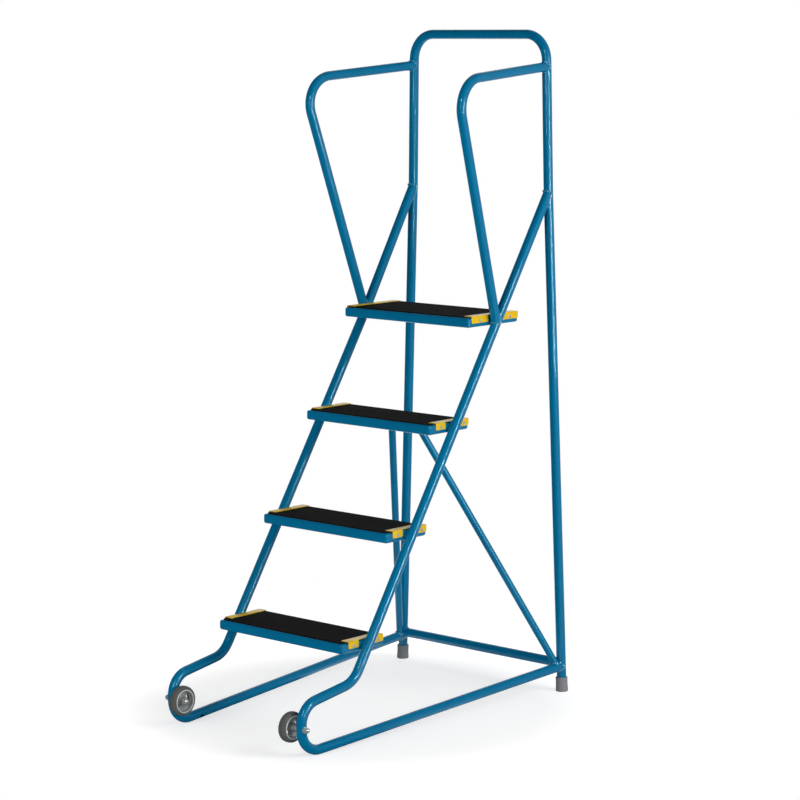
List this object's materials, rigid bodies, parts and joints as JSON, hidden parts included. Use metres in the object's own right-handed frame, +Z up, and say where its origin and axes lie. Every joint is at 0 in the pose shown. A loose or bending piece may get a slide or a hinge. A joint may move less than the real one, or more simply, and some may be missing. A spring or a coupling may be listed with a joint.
{
  "type": "tilt and pull warehouse steps",
  "caption": "Welded tube warehouse steps with flat treads, handrails and a tall back hoop, on small front wheels that meet the floor when the steps are tilted forward and pulled.",
  "frame": {"origin": "on the floor, in the middle of the whole footprint", "axes": "+X to the climber's right, +Y from the climber's side towards the back legs, +Z up"},
  "size_m": [0.6084, 0.99, 1.7537],
  "materials": {
    "blue_paint": "gloss powder coat",
    "black_deck": "matt anti-slip board",
    "yellow_trim": "satin paint",
    "grey_rubber": "matt",
    "tyre_rubber": "matt",
    "wheel_metal": "satin",
    "zinc": "bright zinc plate"
  },
  "bodies": {
    "frame": {"back_hoop": "blue_paint", "rear_cross_rail": "blue_paint", "tread_frame_1": "blue_paint", "tread_frame_2": "blue_paint", "tread_frame_3": "blue_paint", "tread_frame_4": "blue_paint", "tread_deck_1": "black_deck", "tread_deck_2": "black_deck", "tread_deck_3": "black_deck", "tread_deck_4": "black_deck", "side_frame_right": "blue_paint", "handrail_right": "blue_paint", "brace_right": "blue_paint", "edge_angle_1_right": "yellow_trim", "edge_angle_2_right": "yellow_trim", "edge_angle_3_right": "yellow_trim", "edge_angle_4_right": "yellow_trim", "rear_foot_right": "grey_rubber", "axle_right": "zinc", "axle_spacer_right": "zinc", "axle_nut_right": "zinc", "side_frame_left": "blue_paint", "handrail_left": "blue_paint", "brace_left": "blue_paint", "edge_angle_1_left": "yellow_trim", "edge_angle_2_left": "yellow_trim", "edge_angle_3_left": "yellow_trim", "edge_angle_4_left": "yellow_trim", "rear_foot_left": "grey_rubber", "axle_left": "zinc", "axle_spacer_left": "zinc", "axle_nut_left": "zinc"},
    "wheel_left": {"tyre_left": "tyre_rubber", "wheel_rim_left": "wheel_metal"},
    "wheel_right": {"tyre_right": "tyre_rubber", "wheel_rim_right": "wheel_metal"}
  },
  "joints": [
    {"name": "wheel_left_spin", "type": "hinge", "parent": "frame", "child": "wheel_left", "pos_m": [-0.194, -0.4565, 0.0732], "axis": [1, 0, 0], "continuous": true},
    {"name": "wheel_right_spin", "type": "hinge", "parent": "frame", "child": "wheel_right", "pos_m": [0.194, -0.4565, 0.0732], "axis": [1, 0, 0], "continuous": true}
  ]
}
